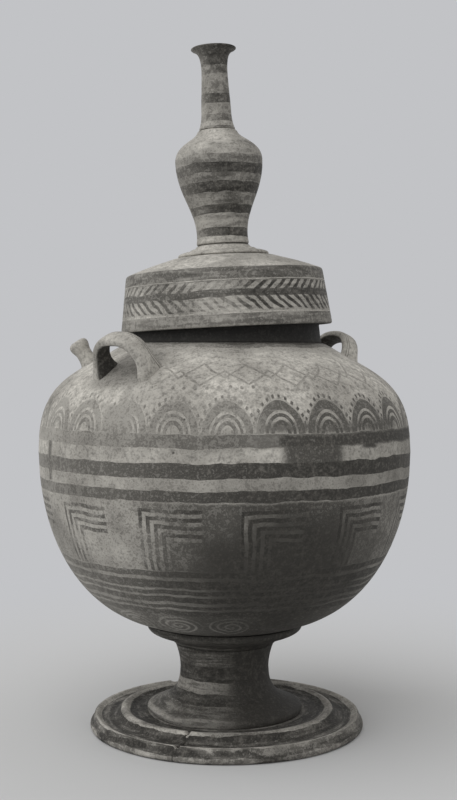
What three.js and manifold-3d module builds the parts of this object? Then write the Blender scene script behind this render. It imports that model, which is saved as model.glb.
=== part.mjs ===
// Lidded pedestal vessel in painted earthenware, with loop handles on the shoulder
// and a finial shaped as a small vase. Millimetres, +Z up, front towards -Y.
// The origin is on the ground, on the axis of the belly.

import * as THREE from 'three';
import { mergeVertices } from 'three/addons/utils/BufferGeometryUtils.js';
import Module from 'manifold-3d';

const wasm = await Module();
wasm.setup();

// Clearances
const luteGap = 0.3;            // line between two pieces that were luted together
const lidPlay = 3.3;            // room between the neck and the skirt of the lid

// Foot plate: widths run outwards from the edge of the stem
const footSeatHeight = 13.5;    // where the stem stands on the plate
const footInnerChannel = 23;    // from the edge of the stem to the crest of the ridge
const footOuterChannel = 25;    // from the crest of the ridge to the crest of the rim
const footRimWidth = 6.5;       // from the crest of the rim to the outermost bead
const footRidgeRise = 4.7;      // crest of the ridge above the seat
const footChannelDrop = 4;      // floor of the outer channel below the seat
const footRimHeight = 13.6;     // crest of the rim above the ground
const footBeadHeight = 6;
const footBaseWidth = 12;       // flat ring that touches the ground
const footHollowHeight = 3.2;   // underside of the plate above the ground
const footShift = 2;            // the plate was luted on off centre, towards +X

// Stem: a hollow trumpet
const stemEdgeRadius = 71;
const stemEdgeHeight = 5.3;
const stemLandWidth = 19;       // ring of clay that stands on the plate
const stemWaistRadius = 40.6;
const stemWaistHeight = 40;     // above the seat
const stemWall = 9;
const stemTopRadius = 45.5;
const stemTopHeight = 62.5;     // above the seat
const stemFlareReach = 0.28;    // pulls of the flare's curve, as shares of its width and height
const stemFlareLift = 0.23;
const stemWaistPull = 0.42;
const boreFlareReach = 0.4;
const boreWaistPull = 0.3;
const spigotStep = 2.5;         // the top of the stem narrows inside the collar

// Collar of clay that closes the joint of stem and bowl
const collarRadius = 71;
const collarHeight = 18.5;
const collarEdgeHeight = 4;

// Belly, thrown in two halves
const bellyRadius = 170;
const bellyWall = 7;
const bowlHeight = 158.2;
const bowlFloorRadius = 67.2;
const bowlFloorThickness = 8;
const bowlFall = 1.92;          // exponents of the bowl's outline
const bowlRoundness = 3.15;
const shoulderHeight = 97.8;
const shoulderSlope = THREE.MathUtils.degToRad(30);
const shoulderRun = 0.62;       // share of the shoulder that keeps to the slope
const shoulderTurn = 0.66;      // share of the height that keeps upright at the widest line
const shoulderLip = 3.5;        // upright edge inside, under the neck

// Neck; the mouth is warped out of level, and the lid leans with it
const neckFootRadius = 90;
const neckRadius = 88;
const neckMouthRadius = 82.2;
const neckHeight = 57.5;
const neckWall = 6.7;
const neckFilletHeight = 6;
const mouthEasing = 1.3;
const mouthLean = THREE.MathUtils.degToRad(2.8);

// Loop handles: flat straps of clay
const strapWidth = 18.5;
const strapThickness = 6.8;
const strapRounding = 0.7;      // 1 gives an oval section
const loopHalfWidth = 22.4;     // half of the finger opening, between the legs
const loopHeight = 27.2;        // finger opening, from the root to the strap
const loopSquareness = 2.5;     // 2 gives an ellipse
const loopFootSpread = 1.3;     // how much wider and thicker the feet are pressed
const loopRootDepth = 9;
const frontHandle = { azimuth: -38.5, rootRadius: 132.5, lean: 27 };
const backHandle = { azimuth: 126, rootRadius: 127.5, lean: 22 };

// Knobbed lug on the left of the shoulder
const lug = { azimuth: -100, rootRadius: 127, lean: 34 };
const lugHeight = 26;
const lugCapRadius = 9.2;
const lugCapThickness = 7.4;
const lugStemRadius = 7.5;
const lugFootRadius = 10.5;
const lugRootDepth = 9;
const lugWaistShare = 0.6;      // where the stem is thinnest, as a share of its height
const lugCapFlat = 0.7;         // share of the cap that is flat on top

// Lid: heights run from the plane of the mouth
const lidWall = 6;
const lidSkirtDrop = 44.1;
const lidEdgeHeight = 6.4;
const lidEdgeEasing = 1.8;
const lidCrownHeight = 22;
const lidCrownRadius = 43;
const lidCrownThickness = 8;
const lidDomeBulge = 1.2;
const lidSeatWidth = 10;

// Stepped collar under the finial
const finialCollarRadius = 42;
const finialCollarEdge = 2.6;
const finialStepRadius = 30.6;
const finialStepHeight = 5.2;
const finialStepRise = 1.7;
const finialCollarHeight = 10.4;

// Finial: a miniature vase, heights run from its own base
const finialFootRadius = 24.4;
const finialWaistRadius = 23.4;
const finialWaistHeight = 9;
const finialBellyRadius = 40.2;
const finialBellyHeight = 78;
const finialShoulderRadius = 18;
const finialBodyHeight = 105.6;
const finialWall = 5;
const finialFloor = 8;
const finialWaistPull = 0.36;   // pulls of the side's curves, as shares of their heights
const finialBellyPull = 0.43;
const finialShoulderPull = 0.58;
const finialTopPull = 0.3;
const finialNeckFootRadius = 17;
const finialNeckRadius = 13.6;
const finialNeckTopRadius = 12;
const finialNeckHeight = 76.6;
const finialNeckEasing = 0.4;   // share of the shaft that narrows above the foot
const finialBoreRadius = 8.4;
const finialLipRadius = 21.2;
const finialLipDrop = 24;       // the flare begins this far under the lip
const finialLipThickness = 2;

// Fineness of the faceting
const bodySides = 48;
const stemSides = 36;
const finialSides = 28;
const lugSides = 16;
const strapSides = 12;
const loopSteps = 16;
const bowlSteps = 10;
const shoulderSteps = 8;
const finialSteps = 6;
const curveSteps = 4;
const smallCurveSteps = 3;
const weldDistance = 1e-4;

// Heights of the joints above the ground
const bowlFloorHeight = footSeatHeight + stemTopHeight + collarHeight;
const bellyWaistHeight = bowlFloorHeight + bowlHeight;
const neckBaseHeight = bellyWaistHeight + shoulderHeight;
const mouthHeight = neckBaseHeight + neckHeight;

const at = (radius, height) => new THREE.Vector2(radius, height);

// Turned solid of a closed outline, walked up the outside and down the inside
function turned(outline, sides) {
  const closed = outline[0].x === 0 ? outline : [...outline, outline[0].clone()];
  return new THREE.LatheGeometry(closed, sides).rotateX(Math.PI / 2);
}

function outlineOf(path, steps = curveSteps) {
  return path.getPoints(steps);
}

function bezier(start, startHandle, endHandle, end, steps) {
  return new THREE.CubicBezierCurve(start, startHandle, endHandle, end).getPoints(steps);
}

// Conversions between meshes and solids
function weld(geometry) {
  const bare = geometry.clone();
  bare.deleteAttribute('normal');
  bare.deleteAttribute('uv');
  const merged = mergeVertices(bare, weldDistance);
  const index = Array.from(merged.index.array);
  const triangles = [];
  for (let i = 0; i < index.length; i += 3) {
    const [a, b, c] = index.slice(i, i + 3);
    if (a !== b && b !== c && c !== a) triangles.push(a, b, c);
  }
  merged.setIndex(triangles);
  return merged;
}

function solidOf(geometry) {
  const welded = weld(geometry);
  return new wasm.Manifold(new wasm.Mesh({
    numProp: 3,
    vertProperties: new Float32Array(welded.attributes.position.array),
    triVerts: new Uint32Array(welded.index.array),
  }));
}

function geometryOf(solid) {
  const mesh = solid.getMesh();
  const geometry = new THREE.BufferGeometry();
  geometry.setAttribute('position', new THREE.BufferAttribute(mesh.vertProperties, 3));
  geometry.setIndex(new THREE.BufferAttribute(mesh.triVerts, 1));
  geometry.computeVertexNormals();
  return geometry;
}

// Closed skin over a row of rings with equal counts of points
function lofted(rings) {
  const count = rings[0].length;
  const ends = [rings[0], rings[rings.length - 1]].map((ring) =>
    ring.reduce((sum, point) => sum.add(point), new THREE.Vector3()).divideScalar(count));
  const points = [...rings.flat(), ...ends];
  const startCentre = points.length - 2;
  const endCentre = points.length - 1;
  const lastRing = (rings.length - 1) * count;
  const triangles = [];
  for (let side = 0; side < count; side++) {
    const next = (side + 1) % count;
    for (let row = 0; row < lastRing; row += count) {
      triangles.push(row + side, row + next, row + count + next);
      triangles.push(row + side, row + count + next, row + count + side);
    }
    triangles.push(startCentre, next, side);
    triangles.push(endCentre, lastRing + side, lastRing + next);
  }
  const geometry = new THREE.BufferGeometry().setFromPoints(points);
  geometry.setIndex(triangles);
  return geometry;
}

// Outline of the bowl: a curve that leaves the floor at its rim and stands upright at the waist
function bowlSide(radius, floorRadius, height, foot) {
  const spread = (1 - (floorRadius / radius) ** bowlRoundness) ** (1 / bowlFall);
  const points = [];
  for (let step = 0; step <= bowlSteps; step++) {
    const depth = spread * Math.cos((step / bowlSteps) * (Math.PI / 2));
    const share = Math.max(0, 1 - depth ** bowlFall);
    points.push(at(radius * share ** (1 / bowlRoundness), foot + height * (1 - depth / spread)));
  }
  points[0].x = floorRadius;
  return points;
}

// Outline of the shoulder, from the widest line up to the neck
function shoulderSide(radius, endRadius, endHeight) {
  const width = radius - endRadius;
  const start = at(radius, bellyWaistHeight);
  const end = at(endRadius, endHeight);
  const startHandle = at(radius, bellyWaistHeight + shoulderTurn * (endHeight - bellyWaistHeight));
  const run = shoulderRun * width;
  const endHandle = at(endRadius + run, endHeight - run * Math.tan(shoulderSlope));
  return bezier(start, startHandle, endHandle, end, shoulderSteps);
}

const shoulderOutside = shoulderSide(bellyRadius, neckFootRadius, neckBaseHeight);

function shoulderHeightAt(radius) {
  const above = shoulderOutside.findIndex((point) => point.x <= radius);
  const [low, high] = [shoulderOutside[above - 1], shoulderOutside[above]];
  return THREE.MathUtils.mapLinear(radius, low.x, high.x, low.y, high.y);
}

function footPlate() {
  const ridgeRadius = stemEdgeRadius + footInnerChannel;
  const rimRadius = ridgeRadius + footOuterChannel;
  const beadRadius = rimRadius + footRimWidth;
  const wallRadius = rimRadius + footRimWidth / 2;
  const ridgeHeight = footSeatHeight + footRidgeRise;
  const channelHeight = footSeatHeight - footChannelDrop;
  const boreRadius = stemEdgeRadius - stemLandWidth;
  const baseRadius = beadRadius - footBaseWidth;
  const path = new THREE.Path()
    .moveTo(boreRadius, footHollowHeight)
    .lineTo(baseRadius - footHollowHeight, footHollowHeight)
    .lineTo(baseRadius, 0)
    .lineTo(beadRadius - footBeadHeight / 4, 0)
    .quadraticCurveTo(beadRadius + footBeadHeight / 5, footBeadHeight / 2, beadRadius - footBeadHeight / 4,
      footBeadHeight)
    .lineTo(wallRadius, footBeadHeight + footRimWidth / 9)
    .lineTo(wallRadius - footRimWidth / 8, footRimHeight - footRimWidth / 3)
    .quadraticCurveTo(rimRadius + footRimWidth / 6, footRimHeight + footRimWidth / 8,
      rimRadius - footRimWidth / 5, footRimHeight - footRimWidth / 6)
    .quadraticCurveTo(rimRadius - footRimWidth / 2, channelHeight, rimRadius - footOuterChannel / 2, channelHeight)
    .quadraticCurveTo(ridgeRadius + footOuterChannel / 5, channelHeight,
      ridgeRadius + footOuterChannel / 8, ridgeHeight - footRidgeRise / 3)
    .quadraticCurveTo(ridgeRadius, ridgeHeight + footRidgeRise / 4,
      ridgeRadius - footInnerChannel / 6, ridgeHeight - footRidgeRise / 3)
    .quadraticCurveTo(ridgeRadius - footInnerChannel / 3, footSeatHeight,
      ridgeRadius - footInnerChannel / 2, footSeatHeight)
    .lineTo(boreRadius, footSeatHeight);
  return turned(outlineOf(path, smallCurveSteps), bodySides);
}

function pedestalStem() {
  const landRadius = stemEdgeRadius - stemLandWidth;
  const edgeHeight = footSeatHeight + stemEdgeHeight;
  const waistHeight = footSeatHeight + stemWaistHeight;
  const topHeight = footSeatHeight + stemTopHeight;
  const flare = waistHeight - edgeHeight;
  const sweep = stemEdgeRadius - stemWaistRadius;
  const boreRadius = stemWaistRadius - stemWall;
  const path = new THREE.Path()
    .moveTo(landRadius, footSeatHeight)
    .lineTo(stemEdgeRadius, footSeatHeight)
    .lineTo(stemEdgeRadius, edgeHeight)
    .bezierCurveTo(stemWaistRadius + sweep * stemFlareReach, edgeHeight + flare * stemFlareLift,
      stemWaistRadius, edgeHeight + flare * stemWaistPull, stemWaistRadius, waistHeight)
    .quadraticCurveTo(stemWaistRadius, (waistHeight + topHeight) / 2, stemTopRadius, topHeight)
    .lineTo(stemTopRadius - spigotStep, topHeight)
    .lineTo(stemTopRadius - spigotStep, bowlFloorHeight)
    .lineTo(boreRadius, bowlFloorHeight)
    .lineTo(boreRadius, waistHeight)
    .bezierCurveTo(boreRadius, edgeHeight + flare * boreWaistPull,
      boreRadius + (landRadius - boreRadius) * boreFlareReach, edgeHeight, landRadius, footSeatHeight);
  return turned(outlineOf(path, curveSteps + 1), stemSides);
}

function stemCollar() {
  const foot = footSeatHeight + stemTopHeight;
  const edgeHeight = bowlFloorHeight - collarEdgeHeight;
  const path = new THREE.Path()
    .moveTo(stemTopRadius - spigotStep + luteGap, foot)
    .lineTo(stemTopRadius, foot)
    .bezierCurveTo(stemTopRadius + collarEdgeHeight / 2, foot + collarHeight / 3,
      collarRadius, foot + collarHeight / 2, collarRadius, edgeHeight)
    .lineTo(collarRadius, bowlFloorHeight)
    .lineTo(stemTopRadius - spigotStep + luteGap, bowlFloorHeight);
  return turned(outlineOf(path), stemSides);
}

function bellyBowl() {
  const outside = bowlSide(bellyRadius, bowlFloorRadius, bowlHeight, bowlFloorHeight);
  const inside = bowlSide(bellyRadius - bellyWall, 0, bowlHeight - bowlFloorThickness,
    bowlFloorHeight + bowlFloorThickness);
  return turned([at(0, bowlFloorHeight), ...outside, ...inside.reverse()], bodySides);
}

function bellyShoulder() {
  const innerRadius = neckFootRadius - neckWall - bellyWall / 3;
  const inside = shoulderSide(bellyRadius - bellyWall, innerRadius, neckBaseHeight - shoulderLip);
  return turned([...shoulderOutside, at(innerRadius, neckBaseHeight), ...inside.reverse()], bodySides);
}

// The neck is turned true, then its top is warped to the lean of the mouth
function neckCollar() {
  const innerRadius = neckFootRadius - neckWall - bellyWall / 3;
  const mouthInner = neckMouthRadius - neckWall;
  const path = new THREE.Path()
    .moveTo(innerRadius, neckBaseHeight)
    .lineTo(neckFootRadius, neckBaseHeight)
    .quadraticCurveTo(neckRadius, neckBaseHeight + neckFilletHeight / 3, neckRadius,
      neckBaseHeight + neckFilletHeight)
    .lineTo(neckMouthRadius, mouthHeight - mouthEasing)
    .lineTo(neckMouthRadius - mouthEasing, mouthHeight)
    .lineTo(mouthInner + mouthEasing, mouthHeight)
    .lineTo(mouthInner, mouthHeight - mouthEasing);
  const geometry = turned(outlineOf(path, smallCurveSteps), bodySides);
  const position = geometry.attributes.position;
  for (let i = 0; i < position.count; i++) {
    const share = (position.getZ(i) - neckBaseHeight) / neckHeight;
    position.setZ(i, position.getZ(i) + share * position.getX(i) * Math.tan(mouthLean));
  }
  geometry.computeVertexNormals();
  return geometry;
}

// Everything inside this solid belongs to the shoulder or to the line around it
function shoulderEnvelope() {
  const grown = shoulderOutside.map((point, i) => {
    const before = shoulderOutside[Math.max(i - 1, 0)];
    const after = shoulderOutside[Math.min(i + 1, shoulderOutside.length - 1)];
    const along = after.clone().sub(before).normalize();
    return at(point.x + along.y * luteGap, point.y - along.x * luteGap);
  });
  const foot = at(grown[0].x, bowlFloorHeight);
  const outline = [at(0, bowlFloorHeight), foot, ...grown, at(0, grown[grown.length - 1].y)];
  return solidOf(turned(outline, bodySides));
}

const envelope = shoulderEnvelope();

// Frame of a piece that stands on the shoulder: X along the shoulder, Z out of it
function rootFrame({ azimuth, rootRadius, lean }) {
  const turn = THREE.MathUtils.degToRad(azimuth);
  const tip = THREE.MathUtils.degToRad(lean);
  const place = new THREE.Vector3(rootRadius * Math.sin(turn), -rootRadius * Math.cos(turn),
    shoulderHeightAt(rootRadius));
  return new THREE.Matrix4().makeTranslation(place)
    .multiply(new THREE.Matrix4().makeRotationZ(turn))
    .multiply(new THREE.Matrix4().makeRotationX(tip));
}

function onShoulder(geometry, root) {
  return geometryOf(solidOf(geometry.applyMatrix4(rootFrame(root))).subtract(envelope));
}

// A strap bent into an arch, its feet pressed wider where they meet the shoulder
function loopHandle(root) {
  const halfSpan = loopHalfWidth + strapThickness / 2;
  const rise = loopHeight + strapThickness / 2;
  const power = 2 / loopSquareness;
  const arch = [];
  for (let step = 0; step <= loopSteps; step++) {
    const angle = Math.PI * (1 - step / loopSteps);
    const across = Math.sign(Math.cos(angle)) * Math.abs(Math.cos(angle)) ** power;
    arch.push(new THREE.Vector3(halfSpan * across, 0, rise * Math.sin(angle) ** power));
  }
  const stations = [
    new THREE.Vector3(-halfSpan, 0, -loopRootDepth),
    ...arch,
    new THREE.Vector3(halfSpan, 0, -loopRootDepth),
  ];
  const rings = stations.map((station, i) => {
    const before = stations[Math.max(i - 1, 0)];
    const after = stations[Math.min(i + 1, stations.length - 1)];
    const along = after.clone().sub(before).normalize();
    const outward = new THREE.Vector3(-along.z, 0, along.x);
    const foot = Math.max(0, 1 - Math.max(station.z, 0) / (rise / 2)) ** 2;
    const spread = 1 + (loopFootSpread - 1) * foot;
    return strapSection().map((point) => station.clone()
      .addScaledVector(outward, point.y * spread)
      .add(new THREE.Vector3(0, point.x * spread, 0)));
  });
  return onShoulder(lofted(rings), root);
}

// Section of the strap: x runs across its width, y through its thickness
function strapSection() {
  return Array.from({ length: strapSides }, (_, side) => {
    const angle = (side / strapSides) * 2 * Math.PI;
    const flat = (value) => Math.sign(value) * Math.abs(value) ** strapRounding;
    return at(flat(Math.cos(angle)) * strapWidth / 2, flat(Math.sin(angle)) * strapThickness / 2);
  });
}

function shoulderLug() {
  const capFoot = lugHeight - lugCapThickness;
  const path = new THREE.Path()
    .moveTo(0, -lugRootDepth)
    .lineTo(lugFootRadius, -lugRootDepth)
    .lineTo(lugFootRadius, 0)
    .quadraticCurveTo(lugStemRadius, capFoot / 4, lugStemRadius, capFoot * lugWaistShare)
    .quadraticCurveTo(lugStemRadius, capFoot, lugCapRadius, capFoot + lugCapThickness / 4)
    .lineTo(lugCapRadius, lugHeight - lugCapThickness / 3)
    .quadraticCurveTo(lugCapRadius, lugHeight, lugCapRadius * lugCapFlat, lugHeight)
    .lineTo(0, lugHeight);
  return onShoulder(turned(outlineOf(path), lugSides), lug);
}

// The lid and its finial are built from the plane of the mouth upwards
const lidSeatHeight = luteGap;
const collarSeatHeight = lidCrownHeight + luteGap;
const finialSeatHeight = collarSeatHeight + finialCollarHeight + luteGap;
const finialNeckSeatHeight = finialSeatHeight + finialBodyHeight + luteGap;

function lidCap() {
  const innerTop = neckMouthRadius + lidPlay;
  const innerBottom = neckRadius + lidPlay;
  const flare = (innerBottom - innerTop) / lidSkirtDrop;
  const edgeRadius = innerTop + lidWall - lidEdgeHeight * flare;
  const seatInner = innerTop - lidSeatWidth;
  const domeFoot = lidEdgeHeight + lidEdgeEasing;
  const path = new THREE.Path()
    .moveTo(0, lidCrownHeight - lidCrownThickness)
    .quadraticCurveTo(lidCrownRadius, lidCrownHeight - lidCrownThickness, seatInner, lidSeatHeight)
    .lineTo(innerTop, lidSeatHeight)
    .lineTo(innerBottom, -lidSkirtDrop)
    .lineTo(innerBottom + lidWall, -lidSkirtDrop)
    .lineTo(edgeRadius, lidEdgeHeight - lidEdgeEasing / 2)
    .quadraticCurveTo(edgeRadius, lidEdgeHeight + lidEdgeEasing / 2, edgeRadius - 2 * lidEdgeEasing, domeFoot)
    .quadraticCurveTo((edgeRadius + lidCrownRadius) / 2, (domeFoot + lidCrownHeight) / 2 + lidDomeBulge,
      lidCrownRadius, lidCrownHeight)
    .lineTo(0, lidCrownHeight);
  return turned(outlineOf(path), bodySides);
}

function finialCollar() {
  const top = collarSeatHeight + finialCollarHeight;
  const stepHeight = collarSeatHeight + finialStepHeight;
  const path = new THREE.Path()
    .moveTo(0, collarSeatHeight)
    .lineTo(finialCollarRadius, collarSeatHeight)
    .lineTo(finialCollarRadius, collarSeatHeight + finialCollarEdge)
    .quadraticCurveTo((finialCollarRadius + finialStepRadius) / 2, stepHeight, finialStepRadius, stepHeight)
    .lineTo(finialStepRadius, stepHeight + finialStepRise)
    .quadraticCurveTo(finialFootRadius, stepHeight + finialStepRise, finialFootRadius, top)
    .lineTo(0, top);
  return turned(outlineOf(path, smallCurveSteps), finialSides);
}

// Side of the finial's body from its waist to its shoulder, and of the hollow inside it
function finialSide(wall, topRadius) {
  const waist = at(finialWaistRadius - wall, finialSeatHeight + finialWaistHeight);
  const belly = at(finialBellyRadius - wall, finialSeatHeight + finialBellyHeight);
  const top = at(topRadius, finialSeatHeight + finialBodyHeight);
  const climb = belly.y - waist.y;
  const close = top.y - belly.y;
  const lower = bezier(waist, at(waist.x, waist.y + climb * finialWaistPull),
    at(belly.x, belly.y - climb * finialBellyPull), belly, finialSteps);
  const upper = bezier(belly, at(belly.x, belly.y + close * finialShoulderPull),
    at(top.x + wall, top.y - close * finialTopPull - wall / 2), top, finialSteps);
  return [...lower, ...upper.slice(1)];
}

function finialBody() {
  const outside = finialSide(0, finialShoulderRadius);
  const inside = finialSide(finialWall, finialBoreRadius + finialWall / 2);
  return turned([
    at(0, finialSeatHeight),
    at(finialFootRadius, finialSeatHeight),
    ...outside,
    ...inside.reverse(),
    at(0, finialSeatHeight + finialFloor),
  ], finialSides);
}

function finialNeck() {
  const top = finialNeckSeatHeight + finialNeckHeight;
  const flareFoot = top - finialLipDrop;
  const shaft = (flareFoot - finialNeckSeatHeight) * finialNeckEasing;
  const path = new THREE.Path()
    .moveTo(finialBoreRadius, finialNeckSeatHeight)
    .lineTo(finialNeckFootRadius, finialNeckSeatHeight)
    .quadraticCurveTo(finialNeckRadius, finialNeckSeatHeight + shaft / 3, finialNeckRadius,
      finialNeckSeatHeight + shaft)
    .lineTo(finialNeckTopRadius, flareFoot)
    .bezierCurveTo(finialNeckTopRadius, top - finialLipDrop / 3, finialNeckTopRadius + finialLipThickness,
      top - 2 * finialLipThickness, finialLipRadius, top - finialLipThickness)
    .lineTo(finialLipRadius, top - finialLipThickness / 2)
    .lineTo(finialLipRadius - finialLipThickness / 2, top)
    .quadraticCurveTo(finialBoreRadius, top - finialLipThickness, finialBoreRadius, top - finialLipDrop / 2);
  return turned(outlineOf(path), finialSides);
}

function piece(name, geometry, color, roughness) {
  const material = new THREE.MeshStandardMaterial({ color, roughness, metalness: 0 });
  const mesh = new THREE.Mesh(geometry, material);
  mesh.name = name;
  return mesh;
}

const foot = piece('foot_plate', footPlate(), 0x6e6b64, 0.85);
foot.position.x = footShift;

const vessel = new THREE.Group();
vessel.add(
  foot,
  piece('pedestal_stem', pedestalStem(), 0x4c4a45, 0.8),
  piece('stem_collar', stemCollar(), 0x3f3d39, 0.8),
  piece('belly_bowl', bellyBowl(), 0x77746c, 0.85),
  piece('belly_shoulder', bellyShoulder(), 0xa8a49a, 0.9),
  piece('neck_collar', neckCollar(), 0x3a3833, 0.8),
  piece('handle_front_left', loopHandle(frontHandle), 0x9a968c, 0.85),
  piece('handle_back_right', loopHandle(backHandle), 0x9a968c, 0.85),
  piece('shoulder_lug', shoulderLug(), 0xa39f95, 0.85),
);

const lid = new THREE.Group();
lid.position.set(0, 0, mouthHeight);
lid.rotation.y = -mouthLean;
lid.add(
  piece('lid_cap', lidCap(), 0x8b887f, 0.85),
  piece('finial_collar', finialCollar(), 0x9d998f, 0.9),
  piece('finial_body', finialBody(), 0x6a675f, 0.85),
  piece('finial_neck', finialNeck(), 0x6a675f, 0.85),
);

const assembly = new THREE.Group();
assembly.add(vessel, lid);

export default assembly;
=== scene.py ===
# Lidded pedestal vessel in slipped earthenware, painted with dark bands and motifs, worn and stained.
import math

import bmesh
import bpy
from mathutils import Matrix, Vector, noise


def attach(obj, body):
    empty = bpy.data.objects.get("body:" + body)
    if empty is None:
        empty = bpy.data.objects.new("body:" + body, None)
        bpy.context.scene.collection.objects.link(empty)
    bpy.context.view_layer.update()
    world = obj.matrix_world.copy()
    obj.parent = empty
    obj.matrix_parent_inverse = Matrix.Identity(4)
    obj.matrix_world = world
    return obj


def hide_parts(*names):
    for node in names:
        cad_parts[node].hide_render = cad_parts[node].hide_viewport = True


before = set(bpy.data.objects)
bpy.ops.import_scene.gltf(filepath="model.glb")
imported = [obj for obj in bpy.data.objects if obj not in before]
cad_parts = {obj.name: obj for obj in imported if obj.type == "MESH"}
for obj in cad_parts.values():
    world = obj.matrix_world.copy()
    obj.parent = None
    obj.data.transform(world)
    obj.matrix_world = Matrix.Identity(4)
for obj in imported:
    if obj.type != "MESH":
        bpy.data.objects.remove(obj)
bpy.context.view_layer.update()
mm = 0.001
fullTurn = 2 * math.pi
print("frame loaded")

# The photograph's frame, in its pixels, and the camera that it was taken with
photograph = {"width": 457, "height": 800, "axisX": 224.6, "horizonY": 353, "focalLength": 1300,
              "distance": 1200, "eyeHeight": 341.4, "sensor": 36}

# The lid leans with the warped mouth, and the foot was luted on off centre
lidLean = math.radians(-2.8)
mouthHeight = 408
footShift = 2
upright = Matrix.Identity(4)
lidPlace = Matrix.Translation((0, 0, mouthHeight * mm)) @ Matrix.Rotation(lidLean, 4, "Y")
footPlace = Matrix.Translation((footShift * mm, 0, 0))


def linear(code):  # sRGB hex to linear
    parts = [int(code[i:i + 2], 16) / 255 for i in (1, 3, 5)]
    return tuple(p / 12.92 if p < 0.04045 else ((p + 0.055) / 1.055) ** 2.4 for p in parts) + (1,)


def addNode(tree, kind, *inputs, named=None, stops=None, **settings):
    made = tree.nodes.new("ShaderNode" + kind)
    for name, value in settings.items():
        setattr(made, name, value)
    pairs = list(zip(made.inputs, inputs)) + [(made.inputs[key], value) for key, value in (named or {}).items()]
    for socket, value in pairs:
        if isinstance(value, bpy.types.Node):
            value = value.outputs[0]
        if isinstance(value, bpy.types.NodeSocket):
            tree.links.new(value, socket)
        elif value is not None:
            socket.default_value = value
    if stops:
        ramp = made.color_ramp
        while len(ramp.elements) < len(stops):
            ramp.elements.new(1)
        for element, (position, level) in zip(ramp.elements, stops):
            element.position = position
            element.color = (level, level, level, 1)
    return made


# Camera, ground and light
stage = {"ground": "#CBCCCD", "background": "#C2C3C6", "world": 0.6, "sun": 1.3, "softness": 80,
         "sunFrom": (-0.62, -0.55, 0.95), "fadeFrom": 0.16, "fadeTo": 0.8, "size": 30}


def makeCamera():
    p = photograph
    data = bpy.data.cameras.new("camera")
    data.sensor_width = p["sensor"]
    data.lens = p["focalLength"] / p["height"] * p["sensor"]
    data.shift_x = (p["width"] / 2 - p["axisX"]) / p["height"]
    data.shift_y = (p["horizonY"] - p["height"] / 2) / p["height"]
    camera = bpy.data.objects.new("camera", data)
    camera.location = (0, -p["distance"] * mm, p["eyeHeight"] * mm)
    camera.rotation_euler = (math.pi / 2, 0, 0)
    bpy.context.scene.collection.objects.link(camera)
    bpy.context.scene.camera = camera


def makeLight():
    world = bpy.data.worlds.new("studio")
    world.use_nodes = True
    tree = world.node_tree
    tree.nodes.clear()
    rays = addNode(tree, "LightPath").outputs
    seen = addNode(tree, "Math", rays["Is Camera Ray"], rays["Is Glossy Ray"], operation="MAXIMUM")
    seen = addNode(tree, "Math", seen, rays["Is Transmission Ray"], operation="MAXIMUM")
    light = addNode(tree, "Background", (1, 0.985, 0.965, 1), stage["world"])
    view = addNode(tree, "Background", linear(stage["background"]), 1)
    mixed = addNode(tree, "MixShader", seen, light, view)
    addNode(tree, "OutputWorld", mixed)
    bpy.context.scene.world = world
    sun = bpy.data.lights.new("window", "SUN")
    sun.energy = stage["sun"]
    sun.angle = math.radians(stage["softness"])
    lamp = bpy.data.objects.new("window", sun)
    lamp.rotation_euler = Vector(stage["sunFrom"]).to_track_quat("Z", "Y").to_euler()
    bpy.context.scene.collection.objects.link(lamp)


def makeGround():
    mesh = bmesh.new()
    bmesh.ops.create_grid(mesh, x_segments=1, y_segments=1, size=stage["size"])
    bmesh.ops.translate(mesh, verts=mesh.verts, vec=(0, 0, -0.2 * mm))
    data = bpy.data.meshes.new("ground")
    mesh.to_mesh(data)
    ground = bpy.data.objects.new("ground", data)
    bpy.context.scene.collection.objects.link(ground)
    paper = bpy.data.materials.new("pale paper")
    paper.use_nodes = True
    tree = paper.node_tree
    tree.nodes.clear()
    place = addNode(tree, "TexCoord").outputs["Object"]
    reach = addNode(tree, "VectorMath", place, operation="LENGTH").outputs["Value"]
    far = addNode(tree, "MapRange", reach, stage["fadeFrom"], stage["fadeTo"], 0, 1,
                  interpolation_type="SMOOTHSTEP")
    camera = addNode(tree, "LightPath").outputs["Is Camera Ray"]
    far = addNode(tree, "Math", far, camera, operation="MULTIPLY")
    near = addNode(tree, "BsdfDiffuse", linear(stage["ground"]))
    even = addNode(tree, "Emission", linear(stage["background"]), 1)
    addNode(tree, "OutputMaterial", addNode(tree, "MixShader", far, near, even))
    data.materials.append(paper)


makeCamera()
makeLight()
makeGround()
bpy.context.scene.view_settings.view_transform = "Standard"
print("camera, light and ground")

# Earthenware under a matte slip: a chalky, granular skin. The paint is a thin dark slip, a little tighter.
# Real grains of 0.3 mm are too fine to show, so they are drawn at 2 mm.
clay = {"slip": "#BAB7B0", "slipShade": "#8D8A84", "paint": "#363430", "paintWorn": "#6C6964", "pit": "#211E1A",
        "grain": 2.0, "grainThin": 0.5, "grainThick": 1.35, "speckle": 0.42, "blotch": 46, "brush": 34,
        "brushSway": 1.6, "pitSpacing": 38, "pitSize": 0.03, "wheelPitch": 2.6, "bump": 0.35, "bumpStrength": 0.8,
        "roughSlip": 0.93, "roughPaint": 0.74, "specular": 0.35}


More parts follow.
